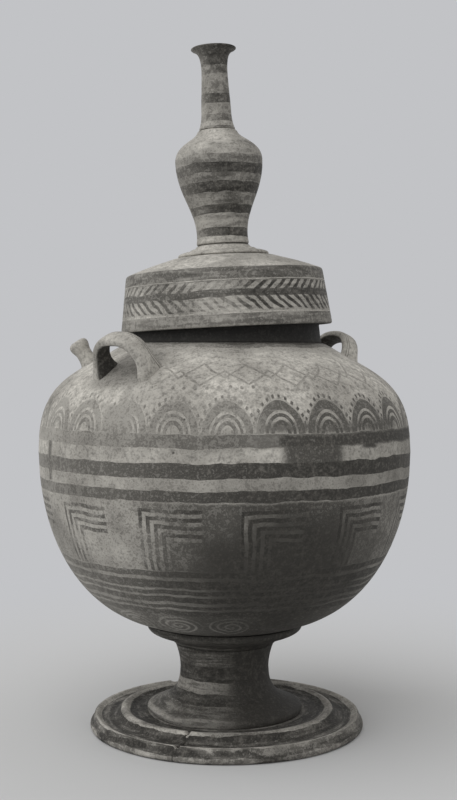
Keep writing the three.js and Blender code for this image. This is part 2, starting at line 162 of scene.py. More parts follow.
def surfacePlace(tree, place):
    # azimuth in radians from the front, height and radius in mm, in the piece's own upright frame
    base = addNode(tree, "TexCoord").outputs["Object"]
    if place != upright:
        base = addNode(tree, "Mapping", base, vector_type="TEXTURE",
                       named={"Location": place.to_translation(), "Rotation": place.to_euler()}).outputs[0]
    apart = addNode(tree, "SeparateXYZ", base).outputs
    back = addNode(tree, "Math", apart["Y"], -1, operation="MULTIPLY")
    azimuth = addNode(tree, "Math", apart["X"], back, operation="ARCTAN2")
    height = addNode(tree, "Math", apart["Z"], 1 / mm, operation="MULTIPLY")
    flat = addNode(tree, "VectorMath", base, (1, 1, 0), operation="MULTIPLY")
    reach = addNode(tree, "VectorMath", flat, operation="LENGTH").outputs["Value"]
    radius = addNode(tree, "Math", reach, 1 / mm, operation="MULTIPLY")
    sway = addNode(tree, "TexNoise", base, None, 1 / (clay["brush"] * mm), 3, 0.6)
    sway = addNode(tree, "MapRange", sway, 0.25, 0.75, -clay["brushSway"], clay["brushSway"])
    wavy = addNode(tree, "Math", height, sway, operation="ADD")
    return {"base": base, "azimuth": azimuth, "height": height, "wavy": wavy, "radius": radius, "sway": sway}


def earthenware(name, place, pattern, tone=1.0):
    material = bpy.data.materials.new(name)
    material.use_nodes = True
    tree = material.node_tree
    tree.nodes.clear()
    where = surfacePlace(tree, place)
    base = where["base"]
    grain = addNode(tree, "TexNoise", base, None, 1 / (clay["grain"] * mm), 2, 0.65)
    coarse = addNode(tree, "TexNoise", base, None, 0.4 / (clay["grain"] * mm), 2, 0.6)
    grit = addNode(tree, "Math", grain, coarse, operation="ADD")
    grit = addNode(tree, "MapRange", grit, 0.7, 1.3, -0.5, 0.5, clamp=False)
    blotch = addNode(tree, "TexNoise", base, None, 1 / (clay["blotch"] * mm), 4, 0.6)
    paint, shade, wear = pattern(tree, where)
    # paint breaks up into grains where it is thin or worn
    depth = addNode(tree, "MapRange", blotch, 0.36, 0.64, clay["grainThin"], clay["grainThick"])
    depth = addNode(tree, "Math", depth, wear, operation="MULTIPLY")
    broken = addNode(tree, "Math", grit, depth, paint, operation="MULTIPLY_ADD")
    broken = addNode(tree, "MapRange", broken, 0.24, 0.7, 0, 1, interpolation_type="SMOOTHSTEP")
    cover = addNode(tree, "Math", addNode(tree, "Math", broken, paint, operation="SUBTRACT"), 0.62, paint,
                    operation="MULTIPLY_ADD", use_clamp=True)
    worn = addNode(tree, "MapRange", blotch, 0.35, 0.68, 0, 0.75, interpolation_type="SMOOTHSTEP")
    slip = addNode(tree, "MixRGB", worn, linear(clay["slip"]), linear(clay["slipShade"]))
    dark = addNode(tree, "MixRGB", addNode(tree, "MapRange", grit, -0.1, 0.5, 0, 0.45), linear(clay["paint"]),
                   linear(clay["paintWorn"]))
    colour = addNode(tree, "MixRGB", cover, slip, dark)
    # shade mixes the colour towards the dark paint: painted shade on the belly, stem, foot and neck, with the
    # belly's stains and the foot's crack line
    colour = addNode(tree, "MixRGB", shade, colour, linear(clay["paint"]))
    # tone darkens the whole colour; the neck's low tone is partly painted shade
    dull, bright = (1 - clay["speckle"]) * tone, (1 + clay["speckle"]) * tone
    level = addNode(tree, "MapRange", grit, -0.5, 0.5, dull, bright)
    colour = addNode(tree, "VectorMath", colour, level, operation="MULTIPLY")
    pits = addNode(tree, "TexVoronoi", base, None, 1 / (clay["pitSpacing"] * mm)).outputs["Distance"]
    pits = addNode(tree, "MapRange", pits, clay["pitSize"] * 0.6, clay["pitSize"] * 1.4, 1, 0)
    colour = addNode(tree, "MixRGB", pits, colour, linear(clay["pit"]))
    rough = addNode(tree, "MapRange", cover, 0, 1, clay["roughSlip"], clay["roughPaint"])
    # fine lines left by turning on the wheel
    rings = addNode(tree, "CombineXYZ", 0, 0, addNode(tree, "Math", where["height"], 1 / clay["wheelPitch"],
                                                      operation="MULTIPLY"))
    rings = addNode(tree, "TexNoise", rings, None, 1, 2, 0.6)
    relief = addNode(tree, "Math", grit, 0.5, rings, operation="MULTIPLY_ADD")
    relief = addNode(tree, "Math", pits, -1.6, relief, operation="MULTIPLY_ADD")
    bump = addNode(tree, "Bump", named={"Strength": clay["bumpStrength"], "Distance": clay["bump"] * mm,
                                        "Height": relief})
    shader = addNode(tree, "BsdfPrincipled", named={"Base Color": colour, "Roughness": rough, "Normal": bump,
                                                   "Specular IOR Level": clay["specular"]})
    addNode(tree, "OutputMaterial", shader)
    return material


def window(tree, value, low, high, soft):
    # 1 between low and high, with soft edges
    middle = (low + high) / 2
    half = (high - low) / 2
    offset = addNode(tree, "Math", value, middle, operation="SUBTRACT")
    offset = addNode(tree, "Math", offset, operation="ABSOLUTE")
    return addNode(tree, "MapRange", offset, half - soft, half + soft, 1, 0, interpolation_type="SMOOTHSTEP")


def bandLevels(tree, value, bands):
    # bands are (lower edge, paint) pairs going up; the last one's edge closes the row
    low, high = bands[0][0], bands[-1][0]
    share = addNode(tree, "MapRange", value, low, high, 0, 1)
    stops = [((edge - low) / (high - low), level) for edge, level in bands[:-1]]
    ramp = addNode(tree, "ValToRGB", share, stops=stops)
    ramp.color_ramp.interpolation = "CONSTANT"
    return ramp


def repeatRound(tree, azimuth, count, offset):
    # share of one repeat, from -0.5 to 0.5
    turns = addNode(tree, "Math", azimuth, count / fullTurn, offset, operation="MULTIPLY_ADD")
    share = addNode(tree, "Math", turns, operation="FRACT")
    return addNode(tree, "Math", share, 0.5, operation="SUBTRACT")


def azimuthLevels(tree, azimuth, stops):
    # azimuths in degrees from the front, and the level there
    share = addNode(tree, "MapRange", azimuth, -math.pi, math.pi, 0, 1)
    return addNode(tree, "ValToRGB", share, stops=[((degrees + 180) / 360, level) for degrees, level in stops])


def reachOf(tree, across, up):
    flat = addNode(tree, "CombineXYZ", across, up, 0)
    return addNode(tree, "VectorMath", flat, operation="LENGTH").outputs["Value"]


def streaks(tree, where, along, length, width, depth):
    # wear in streaks that run round the piece, drawn on its height or its radius
    east = addNode(tree, "Math", where["azimuth"], operation="SINE")
    north = addNode(tree, "Math", where["azimuth"], operation="COSINE")
    east = addNode(tree, "Math", east, length, operation="MULTIPLY")
    north = addNode(tree, "Math", north, length, operation="MULTIPLY")
    level = addNode(tree, "Math", where[along], 1 / width, operation="MULTIPLY")
    wear = addNode(tree, "TexNoise", addNode(tree, "CombineXYZ", east, north, level), None, 1, 3, 0.6)
    return addNode(tree, "MapRange", wear, 0.34, 0.66, -depth, depth)


# Belly: heights in mm above the ground, azimuths in degrees, paint from 0 where it is bare to 1 where it is whole
belly = {
    "bands": [(94, 0.86), (98.7, 0.8), (122, 0.95), (126.5, 0.6), (129, 0.95), (132, 0.62), (134.5, 0.97),
              (139.5, 0.55), (142, 0.95), (146, 0.55), (148, 0.97), (154.5, 0.5), (158, 0.9), (163.3, 0.12),
              (217, 0.3), (221, 0.92), (230.2, 0.3), (240.8, 0.94), (252.4, 0.12), (264.8, 0.62), (276.4, 0.0),
              # the last bands darken the shoulder towards the neck
              (336, 0.12), (341, 0.3), (345.5, 0.55), (348.5, 0.8), (352, 0.9)],
    "fade": [(-180, 0.8), (-100, 0.55), (-62, 0.5), (-40, 0.62), (-18, 0.78), (4, 0.95), (30, 1.0), (58, 0.95),
             (80, 0.72), (130, 0.8), (180, 0.8)],
    "angleWear": 1.5,
}
# Nested arcs stand side by side on the upper band; ring edges are shares of an arch's height
arcade = {"count": 24, "offset": 0.45, "foot": 276.4, "height": 27.6, "spread": 2.05, "rampReach": 1.25,
          "rings": [(0, 0.12), (0.26, 0.8), (0.4, 0.16), (0.49, 0.8), (0.6, 0.2), (0.69, 0.74), (0.96, 0.3),
                    (1.02, 0)],
          "rays": 26, "rayPaint": 0.8, "rayFrom": 1.02, "rayTo": 1.14,
          "fade": [(-180, 0.7), (-80, 0.5), (-20, 0.52), (6, 0.6), (16, 0.9), (55, 0.9), (75, 0.6), (180, 0.7)]}
# Nested right angles, on a ground that is painted over towards the right
angles = {"count": 12, "offset": 0.845, "top": 216, "foot": 165, "radius": 166, "line": 6.6, "lines": 4, "width": 55,
          "lineShare": 0.52, "gap": 0.34, "paint": 1.1, "patch": 32, "faint": 0.3, "below": 2, "above": 5,
          "ground": [(-180, 0.35), (-70, 0.3), (-45, 0.16), (-30, 0.24), (-16, 0.56), (4, 0.72), (22, 0.85),
                     (44, 0.6), (75, 0.45), (180, 0.35)]}
# Linked ovals, left lighter than the ground round them
ovals = {"count": 15, "offset": 0.375, "height": 110.3, "halfWidth": 0.46, "halfHeight": 10.5, "turns": 3.2,
         "light": 0.24, "clearTo": 0.15, "faintFrom": 0.4, "faint": 0.3}
lozenges = {"count": 23, "height": 323.5, "half": 5.6, "line": 0.9, "paint": 0.38}
dots = {"count": 100, "height": 313, "radius": 1.5, "pathRadius": 137, "paint": 0.42}
fineRow = {"from": -32, "to": 230, "soft": 0.1}  # the azimuths that lozenges and dots run between
# Paint over the bands: azimuths from and to, heights from and to, softness and strength
spills = [(16, 35, 250, 268, 2.5, 0.75), (42, 49, 262, 274, 2, 0.8), (-64, -61, 232, 266, 1.2, 0.55),
          (-38, -26, 268, 300, 3, 0.4), (-33, -29, 262, 330, 1.2, 0.35), (6, 36, 264, 277, 3, 0.5),
          (8, 62, 276, 287, 5, 0.6), (-34, -20, 300, 338, 6, 0.22), (-52, -26, 312, 346, 5, 0.4),
          (-12, 12, 262, 280, 5, 0.35), (14, 78, 265, 276.5, 2.5, 0.85)]
# Darker patches over the lower right and the right: partly real stains, partly painted shade where the belly turns
# down and away from the light
stainsAndPaintedShade = [{"azimuth": 20, "halfAzimuth": 48, "height": 160, "halfHeight": 80, "strength": 0.92},
          {"azimuth": 60, "halfAzimuth": 44, "height": 244, "halfHeight": 66, "strength": 0.3}]
stainAndShadeEdge = {"ragged": 26, "raggedness": 0.7, "from": 0.7, "to": 1.5}


def arcadePaint(tree, azimuth, wavy):
    across = repeatRound(tree, azimuth, arcade["count"], arcade["offset"])
    across = addNode(tree, "Math", across, arcade["spread"], operation="MULTIPLY")
    top = arcade["foot"] + arcade["height"]
    up = addNode(tree, "MapRange", wavy, arcade["foot"], top, 0, 1, clamp=False)
    reach = reachOf(tree, across, up)
    share = addNode(tree, "Math", reach, arcade["rampReach"], operation="DIVIDE")
    stops = [(edge / arcade["rampReach"], level) for edge, level in arcade["rings"]]
    arcs = addNode(tree, "ValToRGB", share, stops=stops)
    arcs.color_ramp.interpolation = "CONSTANT"
    angle = addNode(tree, "Math", up, across, operation="ARCTAN2")
    angle = addNode(tree, "Math", angle, arcade["rays"], operation="MULTIPLY")
    rays = addNode(tree, "Math", angle, operation="SINE")
    rays = addNode(tree, "MapRange", rays, 0, 0.5, 0, arcade["rayPaint"])
    edge = window(tree, reach, arcade["rayFrom"], arcade["rayTo"], 0.03)
    rays = addNode(tree, "Math", rays, edge, operation="MULTIPLY")
    arcs = addNode(tree, "Math", arcs, rays, operation="MAXIMUM")
    above = addNode(tree, "MapRange", up, 0, 0.02, 0, 1)
    arcs = addNode(tree, "Math", arcs, above, operation="MULTIPLY")
    return addNode(tree, "Math", arcs, azimuthLevels(tree, azimuth, arcade["fade"]), operation="MULTIPLY")


def anglePaint(tree, where, fade):
    azimuth, wavy = where["azimuth"], where["wavy"]
    share = repeatRound(tree, azimuth, angles["count"], angles["offset"])
    share = addNode(tree, "Math", share, 0.5, operation="ADD")
    pitch = fullTurn * angles["radius"] / angles["count"]
    along = addNode(tree, "Math", share, pitch, where["sway"], operation="MULTIPLY_ADD")
    down = addNode(tree, "Math", angles["top"], wavy, operation="SUBTRACT")
    corner = addNode(tree, "Math", along, down, operation="MINIMUM")
    lines = addNode(tree, "Math", corner, 1 / angles["line"], operation="MULTIPLY")
    lines = window(tree, addNode(tree, "Math", lines, operation="FRACT"), 0.0, angles["lineShare"], 0.06)
    inside = window(tree, corner, 0, angles["lines"] * angles["line"], 0.5)
    for value, low, high in ((along, 0, angles["width"]), (wavy, angles["foot"], angles["top"])):
        inside = addNode(tree, "Math", inside, window(tree, value, low, high, 1), operation="MULTIPLY")
    legible = addNode(tree, "TexNoise", where["base"], None, 1 / (angles["patch"] * mm), 2, 0.5)
    legible = addNode(tree, "MapRange", legible, 0.4, 0.58, angles["faint"], 1)
    inside = addNode(tree, "Math", inside, legible, operation="MULTIPLY")
    motif = addNode(tree, "MapRange", lines, 0, 1, angles["gap"], angles["paint"])
    motif = addNode(tree, "Math", motif, fade, operation="MULTIPLY")
    ground = azimuthLevels(tree, azimuth, angles["ground"])
    row = window(tree, wavy, angles["foot"] - angles["below"], angles["top"] + angles["above"], 2)
    paint = addNode(tree, "Math", addNode(tree, "MixRGB", inside, ground, motif), row, operation="MULTIPLY")
    return paint, row


def ovalLight(tree, azimuth, wavy):
    across = repeatRound(tree, azimuth, ovals["count"], ovals["offset"])
    across = addNode(tree, "Math", across, 1 / ovals["halfWidth"], operation="MULTIPLY")
    low, high = ovals["height"] - ovals["halfHeight"], ovals["height"] + ovals["halfHeight"]
    up = addNode(tree, "MapRange", wavy, low, high, -1, 1, clamp=False)
    reach = reachOf(tree, across, up)
    swirl = addNode(tree, "Math", up, across, operation="ARCTAN2")
    swirl = addNode(tree, "Math", swirl, 1 / fullTurn, operation="MULTIPLY")
    coil = addNode(tree, "Math", reach, ovals["turns"], swirl, operation="MULTIPLY_ADD")
    coil = window(tree, addNode(tree, "Math", coil, operation="FRACT"), 0.1, 0.45, 0.08)
    light = addNode(tree, "MapRange", reach, 0.9, 1.05, ovals["light"], 0)
    coil = addNode(tree, "Math", coil, light, operation="MULTIPLY")
    clear = addNode(tree, "MapRange", azimuth, ovals["clearTo"], ovals["faintFrom"], 1, ovals["faint"])
    return addNode(tree, "Math", coil, clear, operation="MULTIPLY")


def finePaint(tree, azimuth, wavy):
    # a chain of lozenges, large and small by turns, over a row of dots
    half = lozenges["half"]
    share = repeatRound(tree, azimuth, lozenges["count"], 0)
    slope = addNode(tree, "Math", share, operation="ABSOLUTE")
    slope = addNode(tree, "Math", slope, -4 * half, 2 * half, operation="MULTIPLY_ADD")
    slope = addNode(tree, "Math", slope, half * 0.5, operation="SUBTRACT")
    slope = addNode(tree, "Math", slope, operation="ABSOLUTE")
    rise = addNode(tree, "Math", wavy, lozenges["height"], operation="SUBTRACT")
    rise = addNode(tree, "Math", rise, operation="ABSOLUTE")
    chain = addNode(tree, "Math", rise, slope, operation="SUBTRACT")
    chain = addNode(tree, "Math", chain, operation="ABSOLUTE")
    chain = addNode(tree, "MapRange", chain, lozenges["line"] * 0.6, lozenges["line"] * 1.5, lozenges["paint"], 0)
    share = repeatRound(tree, azimuth, dots["count"], 0)
    share = addNode(tree, "Math", share, fullTurn * dots["pathRadius"] / dots["count"], operation="MULTIPLY")
    rise = addNode(tree, "Math", wavy, dots["height"], operation="SUBTRACT")
    reach = reachOf(tree, share, rise)
    spots = addNode(tree, "MapRange", reach, dots["radius"] * 0.6, dots["radius"] * 1.3, dots["paint"], 0)
    fine = addNode(tree, "Math", chain, spots, operation="MAXIMUM")
    row = window(tree, azimuth, math.radians(fineRow["from"]), math.radians(fineRow["to"]), fineRow["soft"])
    return addNode(tree, "Math", fine, row, operation="MULTIPLY")


def spillPaint(tree, azimuth, wavy, spill):
    low, high, foot, top, soft, strength = spill
    around = window(tree, azimuth, math.radians(low), math.radians(high), math.radians(soft))
    patch = addNode(tree, "Math", around, window(tree, wavy, foot, top, soft), operation="MULTIPLY")
    return addNode(tree, "Math", patch, strength, operation="MULTIPLY")


# one ragged dark patch for the shade channel, partly stain and partly painted shade
def stainAndShadeLevel(tree, azimuth, height, ragged, stainAndShadePatch):
    turn = addNode(tree, "Math", azimuth, math.radians(stainAndShadePatch["azimuth"]), operation="SUBTRACT")
    turn = addNode(tree, "Math", turn, 1 / math.radians(stainAndShadePatch["halfAzimuth"]), operation="MULTIPLY")
    low, high = stainAndShadePatch["height"] - stainAndShadePatch["halfHeight"], stainAndShadePatch["height"] + stainAndShadePatch["halfHeight"]
    rise = addNode(tree, "MapRange", height, low, high, -1, 1, clamp=False)
    reach = reachOf(tree, turn, rise)
    reach = addNode(tree, "Math", ragged, stainAndShadeEdge["raggedness"], reach, operation="MULTIPLY_ADD")
    return addNode(tree, "MapRange", reach, stainAndShadeEdge["from"], stainAndShadeEdge["to"], stainAndShadePatch["strength"], 0,
                   interpolation_type="SMOOTHSTEP")


def paintedBelly(tree, where):
    azimuth, wavy = where["azimuth"], where["wavy"]
    bands = bandLevels(tree, wavy, belly["bands"])
    fade = azimuthLevels(tree, azimuth, belly["fade"])
    paint = addNode(tree, "Math", bands, fade, operation="MULTIPLY")
    paint = addNode(tree, "Math", paint, arcadePaint(tree, azimuth, wavy), operation="MAXIMUM")
    zone, row = anglePaint(tree, where, fade)
    paint = addNode(tree, "Math", paint, zone, operation="MAXIMUM")
    paint = addNode(tree, "Math", paint, ovalLight(tree, azimuth, wavy), operation="SUBTRACT", use_clamp=True)
    paint = addNode(tree, "Math", paint, finePaint(tree, azimuth, wavy), operation="MAXIMUM")
    for spill in spills:
        paint = addNode(tree, "Math", paint, spillPaint(tree, azimuth, wavy, spill), operation="MAXIMUM")
    # stains and painted shade over the lower right
    ragged = addNode(tree, "TexNoise", where["base"], None, stainAndShadeEdge["ragged"], 3, 0.6)
    shade = 0.0
    for stainAndShadePatch in stainsAndPaintedShade:
        patch = stainAndShadeLevel(tree, azimuth, where["height"], ragged, stainAndShadePatch)
        shade = addNode(tree, "Math", patch, shade, operation="MAXIMUM")
    wear = addNode(tree, "MapRange", row, 0, 1, 1, belly["angleWear"])
    return paint, shade, wear


# Lid: heights in mm from the plane of the mouth, and a branch with a midrib and slanting leaves round the skirt
lid = {
    "bands": [(-46, 0.6), (-33.2, 0.12), (-32.2, 0.36), (-5.2, 0.6), (-4.4, 0.15), (-3.4, 0.72), (7.2, 0.1),
              (10, 0.04), (13.4, 0.2), (14.4, 0.04), (17.6, 0.16), (18.4, 0.04), (24, 0.02)],
    "fade": [(-180, 0.8), (-90, 0.6), (-60, 0.7), (-25, 0.85), (-8, 0.8), (6, 0.8), (16, 0.95), (50, 0.95),
             (80, 0.8), (180, 0.8)],
    "rib": -15.5, "ribHalf": 3.4, "ribPaint": 0.85, "stray": 1.8, "straySize": 18, "leafTop": 10.8, "leafFoot": 15,
    "leafPitch": 9.8, "leafSlope": 1.15, "leafFrom": 0.1, "leafShare": 0.5, "radius": 94, "sway": 0.35,
    "leafFade": [(-180, 0.8), (-60, 0.85), (-30, 0.85), (-14, 0.55), (6, 0.6), (16, 1.0), (50, 0.95), (180, 0.8)],
    "streak": (3, 3.5, 0.16), "wear": 1.2,
}


def paintedLid(tree, where):
    azimuth, wavy = where["azimuth"], where["wavy"]
    level = addNode(tree, "Math", where["sway"], lid["sway"], where["height"], operation="MULTIPLY_ADD")
    bands = bandLevels(tree, level, lid["bands"])
    rise = addNode(tree, "Math", wavy, lid["rib"], operation="SUBTRACT")
    rise = addNode(tree, "Math", rise, operation="ABSOLUTE")
    rib = addNode(tree, "MapRange", rise, lid["ribHalf"] * 0.8, lid["ribHalf"] * 1.2, lid["ribPaint"], 0)
    stray = addNode(tree, "TexNoise", where["base"], None, 1 / (lid["straySize"] * mm), 2, 0.5)
    stray = addNode(tree, "MapRange", stray, 0.3, 0.7, -lid["stray"], lid["stray"])
    run = addNode(tree, "Math", azimuth, lid["radius"], stray, operation="MULTIPLY_ADD")
    run = addNode(tree, "Math", rise, -lid["leafSlope"], run, operation="MULTIPLY_ADD")
    leaf = addNode(tree, "Math", run, 1 / lid["leafPitch"], operation="MULTIPLY")
    leaf = addNode(tree, "Math", leaf, operation="FRACT")
    leaf = window(tree, leaf, lid["leafFrom"], lid["leafFrom"] + lid["leafShare"], 0.1)
    ends = window(tree, wavy, lid["rib"] - lid["leafFoot"], lid["rib"] + lid["leafTop"], 0.8)
    leaf = addNode(tree, "Math", leaf, ends, operation="MULTIPLY")
    leaf = addNode(tree, "Math", leaf, azimuthLevels(tree, azimuth, lid["leafFade"]), operation="MULTIPLY")
    branch = addNode(tree, "Math", rib, leaf, operation="MAXIMUM")
    paint = addNode(tree, "Math", bands, branch, operation="MAXIMUM")
    paint = addNode(tree, "Math", paint, streaks(tree, where, "height", *lid["streak"]), operation="ADD")
    paint = addNode(tree, "Math", paint, azimuthLevels(tree, azimuth, lid["fade"]), operation="MULTIPLY")
    return paint, 0.0, lid["wear"]


# Finial: a small vase, ringed with dark bands
finial = {
    "bands": [(20, 0.05), (31, 0.55), (33.4, 0.2), (39, 0.82), (46.4, 0.44), (59.6, 0.92), (67.7, 0.58),
              (78, 0.98), (87, 0.6), (95, 0.92), (104, 0.55), (112, 0.34), (126, 0.22), (139, 0.5), (140.2, 0.2),
              (145.3, 0.55), (151.7, 0.3), (162.7, 0.78), (171, 0.46), (190, 0.62), (197.4, 0.85), (206, 0.95),
              (217, 1)],
    "fade": [(-180, 0.85), (-90, 0.5), (-50, 0.62), (-20, 0.88), (10, 1.0), (60, 1.0), (90, 0.85), (180, 0.85)],
    "streak": (1.6, 5, 0.17),
}


def paintedFinial(tree, where):
    bands = bandLevels(tree, where["wavy"], finial["bands"])
    paint = addNode(tree, "Math", bands, streaks(tree, where, "height", *finial["streak"]), operation="ADD")
    fade = azimuthLevels(tree, where["azimuth"], finial["fade"])
    return addNode(tree, "Math", paint, fade, operation="MULTIPLY"), 0.0, 1.0


# Stem: dark and worn in streaks on the left, whole on the right
stem = {
    "bands": [(13, 0.42), (20, 0.55), (28, 0.94), (36.6, 0.24), (46.4, 0.97), (60.7, 0.66), (74.9, 0.97),
              (78, 0.5), (79, 0.95), (84.6, 0.5), (85.6, 0.88), (96, 0.9)],
    "wholeFrom": 6, "wholeTo": 150, "wholeSoft": 12, "wholePaint": 0.95, "streak": (2, 2.6, 0.32), "wear": 1.5,
    # the stem's shade is painted shade, darker towards the right, away from the light
    "shade": (-1.2, 0.5, 0.25, 0.75),  # azimuths in radians and the shade there
}


def paintedStem(tree, where):
    bands = bandLevels(tree, where["wavy"], stem["bands"])
    bands = addNode(tree, "Math", bands, streaks(tree, where, "height", *stem["streak"]), operation="ADD")
    full = window(tree, where["azimuth"], math.radians(stem["wholeFrom"]), math.radians(stem["wholeTo"]),
                  math.radians(stem["wholeSoft"]))
    full = addNode(tree, "Math", full, stem["wholePaint"], operation="MULTIPLY")
    paint = addNode(tree, "Math", bands, full, operation="MAXIMUM")
    # painted shade by azimuth, darker towards the right
    return paint, addNode(tree, "MapRange", where["azimuth"], *stem["shade"]), stem["wear"]


# Foot: paint by radius on the plate, over its land, inner channel, ridge, outer channel, rim and wall
foot = {
    "rings": [(50, 0.5), (72, 0.95), (86, 0.9), (89.5, 0.16), (97.5, 0.98), (108, 0.72), (114.5, -0.1),
              (120.2, 0.6), (121.8, 0.85), (124.6, 0.55), (128, 0.5)],
    "streak": (3.4, 5, 0.38), "sway": 0.8, "wear": 1.5,
    # the foot's shade is painted shade, darker towards the right, away from the light
    "shade": (-0.9, 1.0, 0.02, 0.22),  # azimuths in radians and the shade there
    "crack": {"azimuth": -20.5, "from": 84, "half": 0.55, "drift": 1.6, "driftScale": 60},
}


def crackShade(tree, where, crack):
    drift, half = math.radians(crack["drift"]), math.radians(crack["half"])
    line = addNode(tree, "TexNoise", where["base"], None, crack["driftScale"], 2, 0.6)
    line = addNode(tree, "MapRange", line, 0.3, 0.7, -drift, drift)
    line = addNode(tree, "Math", where["azimuth"], line, operation="ADD")
    line = addNode(tree, "Math", line, math.radians(crack["azimuth"]), operation="SUBTRACT")
    line = addNode(tree, "Math", line, operation="ABSOLUTE")
    line = addNode(tree, "MapRange", line, half * 0.4, half, 1, 0)
    outside = addNode(tree, "MapRange", where["radius"], crack["from"], crack["from"] + 3, 0, 1)
    return addNode(tree, "Math", line, outside, operation="MULTIPLY")


def paintedFoot(tree, where):
    sway = addNode(tree, "Math", where["sway"], foot["sway"], where["radius"], operation="MULTIPLY_ADD")
    rings = bandLevels(tree, sway, foot["rings"])
    paint = addNode(tree, "Math", rings, streaks(tree, where, "radius", *foot["streak"]), operation="ADD")
    # painted shade on the right side, away from the light; the crack line is the foot's own
    right = addNode(tree, "MapRange", where["azimuth"], *foot["shade"])
    shade = addNode(tree, "Math", crackShade(tree, where, foot["crack"]), right, operation="MAXIMUM")
    return paint, shade, foot["wear"]


# Neck: dark paint, thinner at its foot, as two heights and the paint there; its shade is painted shade under the lid
neckPaintAndShade = {"levels": (349, 360, 0.6, 1.05), "shade": 0.45}


def paintedNeck(tree, where):
    paint = addNode(tree, "MapRange", where["wavy"], *neckPaintAndShade["levels"])
    return paint, neckPaintAndShade["shade"], 1.0


# Two fine lines run along the strap, and its inner face is darker
strap = {"lines": [(0.36, 0.44), (0.62, 0.7)], "lineSoft": 0.03, "linePaint": 0.65, "bare": 0.14,
         "inside": 0.95}


def paintedStrap(tree, where):
    across = addNode(tree, "Attribute", attribute_name="across").outputs["Fac"]
    inner = addNode(tree, "Attribute", attribute_name="inner").outputs["Fac"]
    # darker on the inner face of the loop
    paint = addNode(tree, "MapRange", inner, 0.15, 0.55, strap["bare"], strap["inside"])
    for low, high in strap["lines"]:
        line = window(tree, across, low, high, strap["lineSoft"])
        line = addNode(tree, "Math", line, strap["linePaint"], operation="MULTIPLY")
        paint = addNode(tree, "Math", paint, line, operation="MAXIMUM")
    return paint, 0.0, 1.0


def plainSlip(tree, where):
    return 0.12, 0.0, 1.0


finishes = {
    "belly": earthenware("slipped earthenware, banded belly", upright, paintedBelly),
    "lid": earthenware("slipped earthenware, lid with a branch", lidPlace, paintedLid),
    "finial": earthenware("slipped earthenware, ringed finial", lidPlace, paintedFinial),
    "stem": earthenware("slipped earthenware, dark stem", upright, paintedStem),
    "foot": earthenware("slipped earthenware, ringed foot", footPlace, paintedFoot),
    # the neck's tone of 0.3 and its shade darken it all over: partly dark paint, partly painted shade under the lid
    "neck": earthenware("dark painted earthenware, painted shade under the lid", upright, paintedNeck, 0.3),
    "strap": earthenware("slipped earthenware, strap handle", upright, paintedStrap),
    "lug": earthenware("slipped earthenware, lug", upright, plainSlip),
}
print("finishes")

# Turned pieces: the section of the frame's own solid, smoothed between its corners and spun again
turning = {"corner": math.radians(50), "passes": 2, "sway": 0.45, "swaySize": 70, "ring": 0.1, "ringSize": 5,
           "weld": 1e-6, "sharp": math.radians(38)}


def cutOutline(nodeName, place):
    mesh = bmesh.new()
    mesh.from_mesh(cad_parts[nodeName].data)
    bmesh.ops.transform(mesh, matrix=place.inverted(), verts=mesh.verts)
    bmesh.ops.remove_doubles(mesh, verts=mesh.verts, dist=turning["weld"])
    for normal, clear in (((1, 0, 0), True), ((0, 1, 0), False)):
        cut = bmesh.ops.bisect_plane(mesh, geom=mesh.verts[:] + mesh.edges[:] + mesh.faces[:],
                                     dist=turning["weld"], plane_co=(0, 0, 0), plane_no=normal,
                                     clear_inner=clear)
    edges = [e for e in cut["geom_cut"] if isinstance(e, bmesh.types.BMEdge)]
    links = {}
    for edge in edges:
        for here, there in (edge.verts[:], edge.verts[:][::-1]):
            links.setdefault(here, []).append(there)
    ends = [v for v, others in links.items() if len(others) == 1]
    closed = not ends
    start = min(ends or links, key=lambda v: v.co.z)
    walk = [start]
    seen = {start}
    while True:
        onward = [v for v in links[walk[-1]] if v not in seen]
        if not onward:
            break
        walk.append(onward[0])
        seen.add(onward[0])
    points = [Vector((v.co.x, v.co.z)) for v in walk]
    mesh.free()
    return points, closed


def refineOutline(points, closed, step, keep=()):
    count = len(points)
    pulls = []
    for i, point in enumerate(points):
        if not closed and i in (0, count - 1):
            pulls.append(None)
            continue
        before, after = points[i - 1], points[(i + 1) % count]
        bend = (point - before).angle(after - point, 0)
        pulls.append(None if bend > turning["corner"] else (after - before).normalized())
    fine = []
    for i in range(count if closed else count - 1):
        start, end = points[i], points[(i + 1) % count]
        length = (end - start).length
        straight = (end - start) / length
        first = (pulls[i] or straight) * length
        last = (pulls[(i + 1) % count] or straight) * length
        parts = max(1, round(length / step))
        for part in range(parts):
            t = part / parts
            fine.append(start * (2 * t ** 3 - 3 * t ** 2 + 1) + first * (t ** 3 - 2 * t ** 2 + t)
                        + end * (3 * t ** 2 - 2 * t ** 3) + last * (t ** 3 - t ** 2))
    if not closed:
        fine.append(points[-1])
    held = [any(abs(p.y - height * mm) < 1.5 * mm for height in keep) for p in fine]
    for _ in range(turning["passes"]):  # eases the corners, as wet clay is wiped
        eased = [p.copy() for p in fine]
        for i, point in enumerate(fine):
            if held[i] or (not closed and i in (0, len(fine) - 1)):
                continue
            eased[i] = (fine[i - 1] + point * 2 + fine[(i + 1) % len(fine)]) / 4
        fine = eased
    return fine


def spinOutline(outline, closed, sides):
    mesh = bmesh.new()
    ring = [mesh.verts.new((p.x, 0, p.y)) for p in outline]
    edges = [mesh.edges.new(pair) for pair in zip(ring, ring[1:])]
    if closed:
        edges.append(mesh.edges.new((ring[-1], ring[0])))
    bmesh.ops.spin(mesh, geom=ring + edges, cent=(0, 0, 0), axis=(0, 0, 1), angle=fullTurn, steps=sides,
                   use_merge=True)
    bmesh.ops.remove_doubles(mesh, verts=mesh.verts, dist=turning["weld"])
    return mesh


